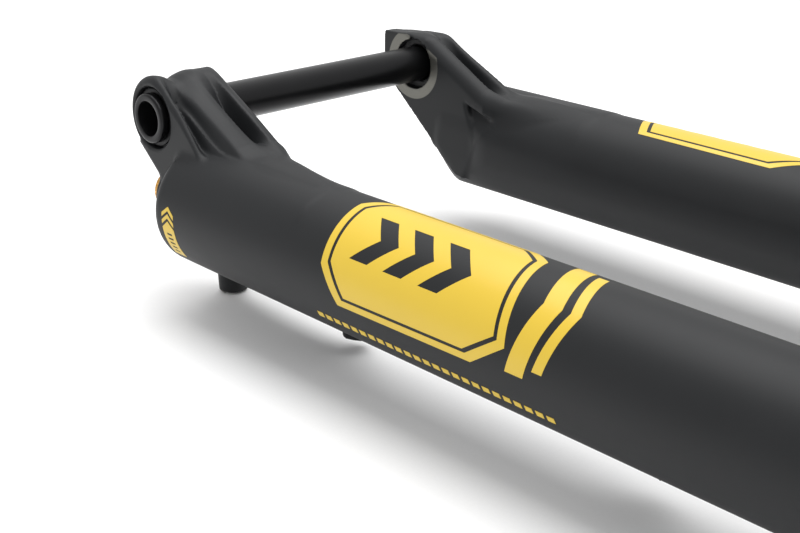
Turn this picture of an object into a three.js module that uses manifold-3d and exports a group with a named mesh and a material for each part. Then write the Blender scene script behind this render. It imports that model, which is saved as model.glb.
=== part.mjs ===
// Telescopic mountain-bike suspension fork, 160 mm of travel, for a 27.5 inch wheel.
// Millimetres. It lies on its back: X runs up the legs towards the crown, Y to the rider's
// right, Z towards the front of the bike. The construction origin is the centre of the axle.
import * as THREE from 'three';
import { mergeVertices } from 'three/addons/utils/BufferGeometryUtils.js';
import Module from 'manifold-3d';

const wasm = await Module();
wasm.setup();

// Driving dimensions
const TRAVEL = 160;
const LEG_SPACING = 144;
const LEG_BACK = 30.3;
const STEERER_BACK = 44;
const AXLE_TO_CROWN = 553;
const STEERER_LENGTH = 220;
const STANCHION_R = 18;
const STANCHION_WALL = 2;
const LEG_R = 22.4;
const LEG_BORE_R = 19.5;
const LEG_END = 14;
const FOOT_END = 2;
const FOOT_SEAT = 8.5;
const FOOT_R = 12;
const LEG_TOP = 330;
const SEAL_COLLAR_R = 25.3;
const AXLE_R = 7.5;
const HUB_WIDTH = 110;
const DROPOUT_INNER = 52;
const DROPOUT_OUTER = 82;
const RIGHT_DROPOUT_OUTER = 69;
const POST_SPACING = 74.2;
const GAP = 0.3;

const HALF = LEG_SPACING / 2;
const LEFT = -HALF;
const RIGHT = HALF;
const FLOOR_OF_BORE = 26;
const STANCHION_FOOT = FLOOR_OF_BORE + TRAVEL + 6;
const CROWN_BASE = LEG_TOP + TRAVEL + 15;
const SOCKET_TOP = 548;
const STANCHION_TOP = 546;
const SEAL_POCKET_R = 22.9;
const SEAL_POCKET_BASE = 302;
const HEAD_RECESS = 3.2;
const INSERT_SEAT = 57;
const BACK_MOST = -72;

const finishes = {
  magnesium: { color: '#26282a', roughness: 0.55, metalness: 0.25 },
  forged: { color: '#1b1c1e', roughness: 0.45, metalness: 0.55 },
  blackAnodised: { color: '#141517', roughness: 0.35, metalness: 0.7 },
  stanchion: { color: '#2a2320', roughness: 0.18, metalness: 0.85 },
  gold: { color: '#c8922e', roughness: 0.35, metalness: 0.85 },
  steel: { color: '#9a9c9e', roughness: 0.35, metalness: 0.95 },
  bronze: { color: '#7d6a3c', roughness: 0.6, metalness: 0.4 },
  rubber: { color: '#161616', roughness: 0.85, metalness: 0 },
  foam: { color: '#3b3b35', roughness: 0.95, metalness: 0 },
  plastic: { color: '#1a1b1c', roughness: 0.6, metalness: 0 },
};

// ---- shaping helpers ---------------------------------------------------------------

// Merges shared corners, drops slivers and turns the faces outward.
function closed(geometry) {
  const source = geometry.index ? geometry : geometry.clone();
  source.deleteAttribute('normal');
  source.deleteAttribute('uv');
  const welded = mergeVertices(source, 1e-4);
  const index = welded.index.array;
  const place = welded.attributes.position;
  const kept = [];
  const a = new THREE.Vector3();
  const b = new THREE.Vector3();
  const c = new THREE.Vector3();
  let volume = 0;
  for (let i = 0; i < index.length; i += 3) {
    const [p, q, r] = [index[i], index[i + 1], index[i + 2]];
    if (p === q || q === r || r === p) continue;
    kept.push(p, q, r);
    a.fromBufferAttribute(place, p);
    b.fromBufferAttribute(place, q);
    c.fromBufferAttribute(place, r);
    volume += a.dot(b.cross(c));
  }
  if (volume < 0) kept.reverse();
  welded.setIndex(kept);
  return welded;
}

// A turned piece: profile holds [x, radius] pairs in order, revolved about the X axis.
// A profile that doesn't start and end on the axis is closed on itself, which makes a ring.
function turned(profile, sides = 20) {
  const points = profile.map(([x, radius]) => new THREE.Vector2(radius, x));
  const first = profile[0];
  const last = profile[profile.length - 1];
  if (first[1] > 0 || last[1] > 0) points.push(points[0].clone());
  const geometry = new THREE.LatheGeometry(points, sides);
  geometry.rotateZ(-Math.PI / 2);
  return closed(geometry);
}

// A tube between two stations along X.
function ring(from, to, inner, outer, sides = 20) {
  return turned([[from, inner], [from, outer], [to, outer], [to, inner]], sides);
}

// A plain bar between two stations along X.
function bar(from, to, radius, sides = 20) {
  return turned([[from, 0], [from, radius], [to, radius], [to, 0]], sides);
}

// Turns a piece built along X so that it runs along Y.
function alongY(geometry) {
  return geometry.rotateZ(Math.PI / 2);
}

function prism(shape, depth, steps) {
  return new THREE.ExtrudeGeometry(shape, { depth, bevelEnabled: false, curveSegments: steps });
}

// A plate whose outline is drawn in X and Z, between two stations along Y.
function plateXZ(shape, low, high, steps = 10) {
  return closed(prism(shape, high - low, steps).rotateX(Math.PI / 2).translate(0, high, 0));
}

// A plate whose outline is drawn in X and Y, between two stations along Z.
function plateXY(shape, low, high, steps = 10) {
  return closed(prism(shape, high - low, steps).translate(0, 0, low));
}

// A block whose outline is drawn in Y and Z, between two stations along X.
function plateYZ(shape, low, high, steps = 10) {
  const turn = new THREE.Matrix4().makeBasis(
    new THREE.Vector3(0, 1, 0),
    new THREE.Vector3(0, 0, 1),
    new THREE.Vector3(1, 0, 0),
  );
  return closed(prism(shape, high - low, steps).applyMatrix4(turn).translate(low, 0, 0));
}

function hexagon(acrossFlats) {
  const corner = acrossFlats / Math.sqrt(3);
  const shape = new THREE.Shape();
  for (let i = 0; i < 6; i += 1) {
    const angle = (i * Math.PI) / 3;
    shape[i ? 'lineTo' : 'moveTo'](corner * Math.cos(angle), corner * Math.sin(angle));
  }
  shape.closePath();
  return shape;
}

function toManifold(geometry) {
  return new wasm.Manifold(new wasm.Mesh({
    numProp: 3,
    vertProperties: Float32Array.from(geometry.attributes.position.array),
    triVerts: Uint32Array.from(geometry.index.array),
  }));
}

function toGeometry(solid) {
  const mesh = solid.getMesh();
  const geometry = new THREE.BufferGeometry();
  geometry.setAttribute('position', new THREE.BufferAttribute(mesh.vertProperties, 3));
  geometry.setIndex(new THREE.BufferAttribute(mesh.triVerts, 1));
  return geometry;
}

function carve(body, added, removed) {
  let solid = toManifold(body);
  for (const piece of added) solid = solid.add(toManifold(piece));
  for (const piece of removed) solid = solid.subtract(toManifold(piece));
  return toGeometry(solid);
}

const fork = new THREE.Group();

function add(name, geometry, finish, x = 0, y = 0, z = 0) {
  const mesh = new THREE.Mesh(geometry, new THREE.MeshStandardMaterial(finishes[finish]));
  mesh.name = name;
  mesh.position.set(x, y, z);
  fork.add(mesh);
  return mesh;
}

// Everything on a leg's own axis is built on X and moved out to that leg.
function onLeg(name, geometry, finish, side) {
  return add(name, geometry, finish, 0, side, -LEG_BACK);
}

// ---- lowers: one magnesium casting with two legs, the arch, dropouts and brake posts ---

function legOutside() {
  const profile = [
    [FOOT_END, 0],
    [FOOT_END, FOOT_R - 1],
    [FOOT_END + 1, FOOT_R],
    [LEG_END - 3, FOOT_R + 1.5],
  ];
  const round = 5;
  for (let i = 0; i <= 4; i += 1) {
    const angle = (i * Math.PI) / 8;
    profile.push([LEG_END + round - round * Math.cos(angle), LEG_R - round + round * Math.sin(angle)]);
  }
  profile.push([282, LEG_R + 0.2]);
  profile.push([300, SEAL_COLLAR_R]);
  profile.push([LEG_TOP - 2, SEAL_COLLAR_R]);
  profile.push([LEG_TOP, SEAL_COLLAR_R - 1.2]);
  profile.push([LEG_TOP, 0]);
  return turned(profile, 32);
}

// Outline of a dropout plate: round about the axle, straight down to the leg's end, and
// sloping along the top into the front of the leg.
function dropoutOutline(radius, slopeX, slopeZ, footX, footZ) {
  const lowerLeft = THREE.MathUtils.degToRad(223);
  const upperRight = THREE.MathUtils.degToRad(62);
  const shape = new THREE.Shape();
  shape.moveTo(slopeX, slopeZ);
  shape.lineTo(slopeX, -LEG_BACK);
  shape.lineTo(footX + 4, footZ);
  shape.lineTo(footX, footZ);
  shape.lineTo(radius * Math.cos(lowerLeft), radius * Math.sin(lowerLeft));
  shape.absarc(0, 0, radius, lowerLeft, upperRight, true);
  shape.closePath();
  return shape;
}

// The left dropout carries the axle's head and has two plates with a ridge between them.
// The right one, which the axle screws into, is thinner and ends at its ridge.
function dropout(side) {
  const inner = dropoutOutline(16.5, 64, -14, 27, -44);
  const web = dropoutOutline(11.5, 66, -8.4, 18, -36);
  const ridge = dropoutOutline(15.5, 66, -8.2, 16, -32);
  const outer = dropoutOutline(14, 62, -9.5, 16, -36);
  const rightRidge = dropoutOutline(13, 66, -8.2, 16, -32);
  const bands = side < 0
    ? [
      [inner, DROPOUT_INNER, 59],
      [web, 56, 78],
      [ridge, 62, 68],
      [outer, 74, DROPOUT_OUTER],
    ]
    : [
      [inner, DROPOUT_INNER, 59],
      [web, 56, 68],
      [rightRidge, 62, RIGHT_DROPOUT_OUTER],
    ];
  return bands.map(([shape, near, far]) => (
    side < 0 ? plateXZ(shape, -far, -near) : plateXZ(shape, near, far)
  ));
}

// Bore for the axle, the hub's end-cap seat inside and the head's recess outside.
function dropoutBores(side) {
  const hubSeat = HUB_WIDTH / 2;
  const place = (geometry) => (side < 0 ? geometry.scale(1, -1, 1) : geometry);
  const pieces = [
    alongY(bar(DROPOUT_INNER - 6, hubSeat, 10.6)),
    alongY(bar(40, 95, AXLE_R + GAP)),
  ];
  if (side < 0) pieces.push(alongY(bar(DROPOUT_OUTER - HEAD_RECESS, 95, 11.5)));
  else pieces.push(alongY(bar(INSERT_SEAT, 95, 9.9)));
  return pieces.map((piece) => closed(place(piece)));
}

// Bridge between the legs in front of the tyre, with a hollow in its back.
function archOutline(outerCrest, innerCrest, inset) {
  const shape = new THREE.Shape();
  shape.moveTo(292, -86 + inset);
  shape.lineTo(322, -84 + inset);
  shape.bezierCurveTo(368, -74 + inset, outerCrest, -44, outerCrest, 0);
  shape.bezierCurveTo(outerCrest, 44, 368, 74 - inset, 322, 84 - inset);
  shape.lineTo(292, 86 - inset);
  shape.lineTo(284, 56 + inset);
  shape.bezierCurveTo(345, 54 + inset, innerCrest, 34, innerCrest, 0);
  shape.bezierCurveTo(innerCrest, -34, 345, -54 - inset, 284, -56 - inset);
  shape.closePath();
  return shape;
}

function archRoot(side) {
  return closed(new THREE.BoxGeometry(38, 34, 26).translate(309, side, -6));
}

function archHollow() {
  const shape = new THREE.Shape();
  shape.moveTo(344, -58);
  shape.bezierCurveTo(372, -50, 387, -30, 387, 0);
  shape.bezierCurveTo(387, 30, 372, 50, 344, 58);
  shape.lineTo(344, 51);
  shape.bezierCurveTo(366, 42, 376, 24, 376, 0);
  shape.bezierCurveTo(376, -24, 366, -42, 344, -51);
  shape.closePath();
  return plateXY(shape, -8, 12, 12);
}

function alongZ(geometry) {
  return geometry.rotateY(-Math.PI / 2);
}

// The caliper's two posts stand on the back of the left leg. Their faces lie in one plane.
const POST_X = 11;
const POST_Y = -56;
const POST_FACE = BACK_MOST;
const POST_RISE = 4.5;
const POST_R = 7.5;

function postTilt() {
  return Math.asin(POST_RISE / POST_SPACING);
}

function postAt(along, geometry) {
  const upright = alongZ(geometry);
  upright.rotateY(-postTilt());
  const x = POST_X + along * Math.cos(postTilt());
  const z = POST_FACE + along * Math.sin(postTilt());
  return closed(upright.translate(x, POST_Y, z));
}

function brakePosts() {
  const web = new THREE.Shape();
  web.moveTo(POST_X + 4, -40);
  web.lineTo(POST_X + POST_SPACING + 18, -40);
  web.lineTo(POST_X + POST_SPACING, -58);
  web.lineTo(POST_X + 4, -62);
  web.closePath();
  return [
    postAt(0, bar(0, 38, POST_R, 24)),
    postAt(POST_SPACING, bar(0, 30, POST_R, 24)),
    plateXZ(web, POST_Y - 4, POST_Y + 4),
  ];
}

function lowersCasting() {
  const legs = [LEFT, RIGHT].map((side) => legOutside().translate(0, side, -LEG_BACK));
  const bores = [LEFT, RIGHT].flatMap((side) => [
    bar(FLOOR_OF_BORE, LEG_TOP + 20, LEG_BORE_R),
    bar(SEAL_POCKET_BASE, LEG_TOP + 20, SEAL_POCKET_R),
    bar(FOOT_END - 2, FLOOR_OF_BORE + 5, 4.4, 16),
    bar(-20, FOOT_SEAT, 9.4),
  ].map((piece) => piece.translate(0, side, -LEG_BACK)));
  const added = [
    legs[1],
    ...dropout(-1),
    ...dropout(1),
    carve(plateXY(archOutline(392, 371, 0), -3, 17, 12), [], [archHollow()]),
    archRoot(LEFT),
    archRoot(RIGHT),
    ...brakePosts(),
    guideBoss(),
    ...fenderBosses(),
  ];
  const removed = [
    ...bores,
    ...dropoutBores(-1),
    ...dropoutBores(1),
    postAt(0, bar(-2, 14, 2.6, 16)),
    postAt(POST_SPACING, bar(-2, 14, 2.6, 16)),
    guideHole(),
    ...fenderHoles(),
  ];
  return carve(legs[0], added, removed);
}

// ---- small things bolted to the casting ----------------------------------------------------

const GUIDE_X = 214;
const GUIDE_Y = LEFT + 12;
const GUIDE_FACE = -LEG_BACK - 21.5;
const FENDER_X = 381;
const FENDER_Y = 22;
const FENDER_FACE = -3.6;

function guideBoss() {
  return closed(alongZ(bar(GUIDE_FACE, GUIDE_FACE + 8, 4.5, 20)).translate(GUIDE_X, GUIDE_Y, 0));
}

function guideHole() {
  return closed(alongZ(bar(GUIDE_FACE - 2, GUIDE_FACE + 5, 1.8, 14)).translate(GUIDE_X, GUIDE_Y, 0));
}

function fenderBosses() {
  return [-1, 1].map((side) => (
    closed(alongZ(bar(FENDER_FACE, 14, 4.6, 20)).translate(FENDER_X, side * FENDER_Y, 0))
  ));
}

function fenderHoles() {
  return [-1, 1].map((side) => (
    closed(alongZ(bar(FENDER_FACE - 2, 8, 2.1, 14)).translate(FENDER_X, side * FENDER_Y, 0))
  ));
}

// A button-head screw whose head's underside is at zero and whose shank runs towards +X.
function screw(headR, headHeight, shankR, length, socket) {
  const body = turned([
    [-headHeight, 0],
    [-headHeight, headR - 0.8],
    [-headHeight + 0.8, headR],
    [0, headR],
    [0, shankR],
    [length, shankR],
    [length, 0],
  ], 14);
  const key = closed(plateYZ(hexagon(socket), -headHeight - 1, -headHeight * 0.35));
  return carve(body, [], [key]);
}

// Clip that holds the brake hose: a foot under the screw and an open hook beside it.
function hoseGuide() {
  const foot = new THREE.Shape();
  foot.moveTo(-5, 0);
  foot.lineTo(-5, -2.4);
  foot.lineTo(7, -2.4);
  foot.lineTo(7, 0);
  foot.closePath();
  const hook = new THREE.Shape();
  const open = THREE.MathUtils.degToRad(-20);
  const close = THREE.MathUtils.degToRad(250);
  hook.absarc(9.4, -6, 5.2, open, close, false);
  hook.absarc(9.4, -6, 3.4, close, open, true);
  hook.closePath();
  const footPlate = plateXZ(foot, -5, 5);
  const hookPlate = plateXZ(hook, -5, 5);
  const hole = closed(alongZ(bar(-6, 4, 1.9, 14)));
  return carve(footPlate, [hookPlate], [hole]);
}

// ---- crown unit --------------------------------------------------------------------------

function steererTube() {
  const base = CROWN_BASE + 12;
  const top = AXLE_TO_CROWN + STEERER_LENGTH;
  return turned([
    [base, 16.4],
    [base, 19.9],
    [AXLE_TO_CROWN + 22, 19.9],
    [AXLE_TO_CROWN + 82, 14.3],
    [top, 14.3],
    [top, 11.8],
    [AXLE_TO_CROWN + 84, 11.8],
    [AXLE_TO_CROWN + 20, 16.4],
  ], 28);
}

// Forged crown: two stanchion sockets and the steerer boss, joined by arched arms.
function forkCrown() {
  const socketR = 24.2;
  const bossR = 28;
  const arms = new THREE.Shape();
  arms.moveTo(-HALF, -LEG_BACK + 19);
  arms.quadraticCurveTo(-HALF / 2, -LEG_BACK + 16, 0, -STEERER_BACK + 26);
  arms.quadraticCurveTo(HALF / 2, -LEG_BACK + 16, HALF, -LEG_BACK + 19);
  arms.lineTo(HALF, -LEG_BACK - 20);
  arms.quadraticCurveTo(HALF / 2, -LEG_BACK - 26, 0, -STEERER_BACK - 25);
  arms.quadraticCurveTo(-HALF / 2, -LEG_BACK - 26, -HALF, -LEG_BACK - 20);
  arms.closePath();
  const bridge = plateYZ(arms, CROWN_BASE + 1, SOCKET_TOP - 6, 8);
  const socket = () => turned([
    [CROWN_BASE, 0],
    [CROWN_BASE, socketR - 1.5],
    [CROWN_BASE + 1.5, socketR],
    [SOCKET_TOP - 1.5, socketR],
    [SOCKET_TOP, socketR - 1.5],
    [SOCKET_TOP, 0],
  ], 32);
  const boss = turned([
    [CROWN_BASE + 10, 0],
    [CROWN_BASE + 10, bossR - 2],
    [CROWN_BASE + 12, bossR],
    [SOCKET_TOP - 4, bossR],
    [SOCKET_TOP + 1, bossR - 2],
    [SOCKET_TOP + 1, 26],
    [AXLE_TO_CROWN, 26],
    [AXLE_TO_CROWN, 0],
  ], 32).translate(0, 0, -STEERER_BACK);
  const underside = closed(alongZ(bar(-120, 40, 76, 40)).translate(CROWN_BASE - 59, 0, 0));
  const sockets = [LEFT, RIGHT].map((side) => socket().translate(0, side, -LEG_BACK));
  const bores = [LEFT, RIGHT].map((side) => (
    bar(CROWN_BASE - 5, SOCKET_TOP + 5, STANCHION_R + GAP).translate(0, side, -LEG_BACK)
  ));
  bores.push(bar(CROWN_BASE - 5, AXLE_TO_CROWN + 5, 20.2, 28).translate(0, 0, -STEERER_BACK));
  const arched = carve(bridge, [], [underside]);
  return carve(arched, [...sockets, boss], bores);
}

// Hard-anodised upper tube, open at both ends.
function stanchion() {
  return ring(STANCHION_FOOT, STANCHION_TOP, STANCHION_R - STANCHION_WALL, STANCHION_R);
}

// Threaded cap that closes a stanchion. It has a splined flange and a stepped hole.
function topCap(holeR) {
  const tubeR = STANCHION_R - STANCHION_WALL - GAP;
  const seat = SOCKET_TOP + GAP;
  const body = turned([
    [STANCHION_TOP - 16, 0],
    [STANCHION_TOP - 16, tubeR],
    [STANCHION_TOP + 0.4, tubeR],
    [STANCHION_TOP + 0.4, 17],
    [seat, 17],
    [seat, 21],
    [seat + 4.2, 21],
    [seat + 5.2, 20],
    [seat + 5.2, 0],
  ]);
  const flutes = [];
  const count = 8;
  for (let i = 0; i < count; i += 1) {
    const angle = (i * 2 * Math.PI) / count;
    flutes.push(bar(seat + 1.4, seat + 7, 2.4, 8)
      .translate(0, 21.6 * Math.cos(angle), 21.6 * Math.sin(angle)));
  }
  return carve(body, [], [bar(STANCHION_TOP - 20, seat + 8, holeR, 24), ...flutes]);
}

// ---- damper, in the left leg -----------------------------------------------------------

const CARTRIDGE_FOOT = 262;
const CARTRIDGE_R = 13.4;
const CARTRIDGE_BORE = 12;
const ROD_R = 5;
const ROD_BORE = 3.2;
const PISTON_BASE = 283;

function compressionValve() {
  return turned([
    [500, 0],
    [500, 11.7],
    [506, 11.7],
    [506, 9],
    [512, 9],
    [512, 11.7],
    [524, 11.7],
    [524, 5],
    [528, 5],
    [528, 0],
  ]);
}

function damperSealHead() {
  return ring(CARTRIDGE_FOOT + 0.5, CARTRIDGE_FOOT + 13, ROD_R + GAP, CARTRIDGE_BORE - GAP, 24);
}

function floatingPiston() {
  return turned([
    [440, 0],
    [440, 11.7],
    [444, 11.7],
    [444, 10.6],
    [447, 10.6],
    [447, 11.7],
    [453, 11.7],
    [453, 8],
    [445, 8],
    [445, 0],
  ]);
}

// Hollow rod from the leg's foot to the piston. Its threaded end passes through the foot.
function damperRod() {
  return turned([
    [FOOT_END + 1, ROD_BORE],
    [FOOT_END + 1, 4],
    [FLOOR_OF_BORE + GAP, 4],
    [FLOOR_OF_BORE + GAP, 8],
    [FLOOR_OF_BORE + 6, 8],
    [FLOOR_OF_BORE + 8, ROD_R],
    [PISTON_BASE - 2, ROD_R],
    [PISTON_BASE - 2, 3.9],
    [PISTON_BASE + 16, 3.9],
    [PISTON_BASE + 16, ROD_BORE],
  ]);
}

function damperPiston() {
  return turned([
    [PISTON_BASE, 4.2],
    [PISTON_BASE, 10.4],
    [PISTON_BASE + 1, 11.4],
    [PISTON_BASE + 3, 11.4],
    [PISTON_BASE + 3, 10],
    [PISTON_BASE + 9, 10],
    [PISTON_BASE + 9, 11.4],
    [PISTON_BASE + 11, 11.4],
    [PISTON_BASE + 12, 10.4],
    [PISTON_BASE + 12, 4.2],
  ]);
}

function footNut() {
  const body = plateYZ(hexagon(15), FOOT_END + GAP, FOOT_SEAT - 1.4);
  return carve(body, [], [bar(0, 20, 4.3)]);
}

// Finger knob at the foot, with scalloped grip and a metering rod on the same axis.
function scallopedKnob(from, to, radius, boreR, lobes) {
  const body = turned([
    [from, 0],
    [from, radius - 1],
    [from + 1, radius],
    [to - 1, radius],
    [to, radius - 1],
    [to, 0],
  ]);
  const cuts = [];
  for (let i = 0; i < lobes; i += 1) {
    const angle = ((i + 0.5) * 2 * Math.PI) / lobes;
    const out = radius + 1.1;
    cuts.push(bar(from - 1, to + 1, 1.8, 8)
      .translate(0, out * Math.cos(angle), out * Math.sin(angle)));
  }
  if (boreR > 0) cuts.push(bar(from - 1, to + 1, boreR, 24));
  return carve(body, [], cuts);
}

// ---- air spring, in the right leg --------------------------------------------------------

const AIR_SHAFT_R = 5;
const AIR_SHAFT_BORE = 3.6;
const AIR_HEAD_BASE = STANCHION_FOOT + 10;
const AIR_PISTON_BASE = 232;
const AIR_TUBE_R = STANCHION_R - STANCHION_WALL - GAP;

function airShaft() {
  return turned([
    [FLOOR_OF_BORE + GAP, AIR_SHAFT_BORE],
    [FLOOR_OF_BORE + GAP, 8],
    [FLOOR_OF_BORE + 5, 8],
    [FLOOR_OF_BORE + 5, AIR_SHAFT_R],
    [AIR_PISTON_BASE - GAP, AIR_SHAFT_R],
    [AIR_PISTON_BASE - GAP, AIR_SHAFT_BORE],
  ]);
}

function airPiston() {
  return turned([
    [AIR_PISTON_BASE, 0],
    [AIR_PISTON_BASE, AIR_TUBE_R],
    [AIR_PISTON_BASE + 4, AIR_TUBE_R],
    [AIR_PISTON_BASE + 4, 13.4],
    [AIR_PISTON_BASE + 8, 13.4],
    [AIR_PISTON_BASE + 8, AIR_TUBE_R],
    [AIR_PISTON_BASE + 12, AIR_TUBE_R],
    [AIR_PISTON_BASE + 12, 11],
    [AIR_PISTON_BASE + 6, 11],
    [AIR_PISTON_BASE + 6, 0],
  ]);
}

function airSealHead() {
  return turned([
    [AIR_HEAD_BASE, AIR_SHAFT_R + GAP],
    [AIR_HEAD_BASE, AIR_TUBE_R],
    [AIR_HEAD_BASE + 12, AIR_TUBE_R],
    [AIR_HEAD_BASE + 14, 13],
    [AIR_HEAD_BASE + 14, AIR_SHAFT_R + GAP],
  ]);
}

// Spring ring that keeps the seal head in, open on one side.
function circlip() {
  const shape = new THREE.Shape();
  const open = THREE.MathUtils.degToRad(22);
  shape.absarc(0, 0, AIR_TUBE_R, open, 2 * Math.PI - open, false);
  shape.absarc(0, 0, 13.2, 2 * Math.PI - open, open, true);
  shape.closePath();
  return plateYZ(shape, AIR_HEAD_BASE - 2, AIR_HEAD_BASE - GAP, 14);
}

function valveStem() {
  return ring(STANCHION_TOP - 14, 566, 2.4, 3.9, 20);
}

function valveCap() {
  const seat = SOCKET_TOP + 5.2 + 2 * GAP;
  const hollow = bar(seat - 2, 568, 4.5, 20);
  return carve(scallopedKnob(seat, 572, 11, 0, 12), [], [hollow]);
}

// ---- axle ------------------------------------------------------------------------------

const AXLE_HEAD = -83.7;

// Hollow 15 mm axle with a flanged head and a socket for the key in its open end.
function thruAxle() {
  const body = turned([
    [AXLE_HEAD, 6.5],
    [AXLE_HEAD, 8.8],
    [AXLE_HEAD + 0.5, 9.3],
    [AXLE_HEAD + 3, 9.3],
    [AXLE_HEAD + 3, AXLE_R],
    [RIGHT_DROPOUT_OUTER - 1, AXLE_R],
    [RIGHT_DROPOUT_OUTER, AXLE_R - 1],
    [RIGHT_DROPOUT_OUTER, 5],
    [AXLE_HEAD + 16, 5],
    [AXLE_HEAD + 16, 6.5],
  ]);
  return alongY(body);
}

function axleWasher() {
  return alongY(ring(AXLE_HEAD + 3.3, -DROPOUT_OUTER + HEAD_RECESS - GAP, AXLE_R + GAP, 10.6));
}

// Steel sleeve in the right dropout that the axle screws into.
function axleInsert() {
  return alongY(ring(INSERT_SEAT + GAP, RIGHT_DROPOUT_OUTER - 0.5, AXLE_R + GAP, 9.6));
}

// ---- assembly --------------------------------------------------------------------------

// Crown unit
add('steerer_tube', steererTube(), 'forged', 0, 0, -STEERER_BACK);
add('fork_crown', forkCrown(), 'forged');
for (const [word, side] of [['left', LEFT], ['right', RIGHT]]) {
  onLeg(`stanchion_${word}`, stanchion(), 'stanchion', side);
}
onLeg('damper_top_cap', topCap(6.2), 'blackAnodised', LEFT);
onLeg('air_top_cap', topCap(4.2), 'blackAnodised', RIGHT);

// Damper
onLeg('cartridge_tube', ring(CARTRIDGE_FOOT, 529.5, CARTRIDGE_BORE, CARTRIDGE_R), 'steel', LEFT);
onLeg('compression_valve', compressionValve(), 'steel', LEFT);
onLeg('floating_piston', floatingPiston(), 'gold', LEFT);
onLeg('damper_seal_head', damperSealHead(), 'blackAnodised', LEFT);
onLeg('damper_rod', damperRod(), 'steel', LEFT);
onLeg('damper_piston', damperPiston(), 'gold', LEFT);
onLeg('piston_band', ring(PISTON_BASE + 3.3, PISTON_BASE + 8.7, 10.3, 11.7), 'bronze', LEFT);
onLeg('metering_rod', bar(FOOT_END - 0.4, 280, 2.6, 16), 'steel', LEFT);
onLeg('rebound_knob', scallopedKnob(-5, FOOT_END - 0.7, 8, 0, 10), 'gold', LEFT);
onLeg('damper_foot_nut', footNut(), 'blackAnodised', LEFT);
onLeg('high_speed_dial', scallopedKnob(554, 561, 12.5, 6.4, 12), 'blackAnodised', LEFT);
onLeg('low_speed_knob', turned([
  [540, 0],
  [540, 5.8],
  [561.4, 5.8],
  [561.4, 9],
  [567, 9],
  [568, 8],
  [568, 0],
], 24), 'gold', LEFT);

// Air spring
onLeg('air_shaft', airShaft(), 'steel', RIGHT);
onLeg('air_piston', airPiston(), 'blackAnodised', RIGHT);
onLeg('air_piston_seal', ring(AIR_PISTON_BASE + 4.3, AIR_PISTON_BASE + 7.7, 13.7, 15.7), 'rubber', RIGHT);
onLeg('air_seal_head', airSealHead(), 'blackAnodised', RIGHT);
onLeg('circlip', circlip(), 'steel', RIGHT);
onLeg('top_out_bumper', ring(AIR_HEAD_BASE + 14.3, AIR_HEAD_BASE + 22, 5.4, 12), 'rubber', RIGHT);
onLeg('bottom_out_bumper', ring(FLOOR_OF_BORE + 5.3, FLOOR_OF_BORE + 13.4, 5.4, 11), 'rubber', RIGHT);
onLeg('air_foot_bolt', screw(6.5, 6, 3.2, 26, 5), 'blackAnodised', RIGHT).position.x = FOOT_SEAT - 1.4;
onLeg('valve_stem', valveStem(), 'steel', RIGHT);
onLeg('valve_pin', bar(548, 565, 1, 10), 'steel', RIGHT);
onLeg('valve_cap', valveCap(), 'blackAnodised', RIGHT);

// Lowers
add('lowers_casting', lowersCasting(), 'magnesium');
for (const [word, side] of [['left', LEFT], ['right', RIGHT]]) {
  onLeg(`lower_bushing_${word}`, ring(200, 220, STANCHION_R + 0.2, LEG_BORE_R - GAP), 'bronze', side);
  onLeg(`upper_bushing_${word}`, ring(270, 295, STANCHION_R + 0.2, LEG_BORE_R - GAP), 'bronze', side);
  onLeg(`foam_ring_${word}`, ring(302.4, 311, STANCHION_R + GAP, SEAL_POCKET_R - GAP), 'foam', side);
  onLeg(`dust_wiper_${word}`, turned([
    [311.4, 19],
    [311.4, 22.6],
    [LEG_TOP + GAP, 22.6],
    [LEG_TOP + GAP, 24.6],
    [LEG_TOP + 2, 24.6],
    [LEG_TOP + 5.5, 20.4],
    [LEG_TOP + 5.5, 18.3],
    [LEG_TOP - 4, 18.3],
    [LEG_TOP - 6, 19],
  ]), 'rubber', side);
  onLeg(`crush_washer_${word}`, ring(FOOT_SEAT - 1.1, FOOT_SEAT - 0.3, 4.4, 7), 'steel', side);
}
onLeg('sag_ring', ring(337, 340, STANCHION_R + 0.2, 20.4), 'rubber', RIGHT);
add('thru_axle', thruAxle(), 'blackAnodised');
add('axle_washer', axleWasher(), 'steel');
add('axle_insert', axleInsert(), 'steel');
add('hose_guide', hoseGuide(), 'plastic', GUIDE_X, GUIDE_Y, GUIDE_FACE - GAP);
add('hose_guide_screw', alongZ(screw(3, 1.8, 1.5, 6, 2)), 'steel', GUIDE_X, GUIDE_Y, GUIDE_FACE - 3);

// The finished part's origin is the middle of the face of its box that it lies on.
const box = new THREE.Box3().setFromObject(fork);
const middle = box.getCenter(new THREE.Vector3());
fork.position.set(-middle.x, -middle.y, -box.min.z);

export default fork;
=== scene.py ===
import math

import bmesh
import bpy
import numpy as np
import openvdb
from mathutils import Matrix, Vector
from mathutils.geometry import delaunay_2d_cdt, interpolate_bezier


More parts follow.
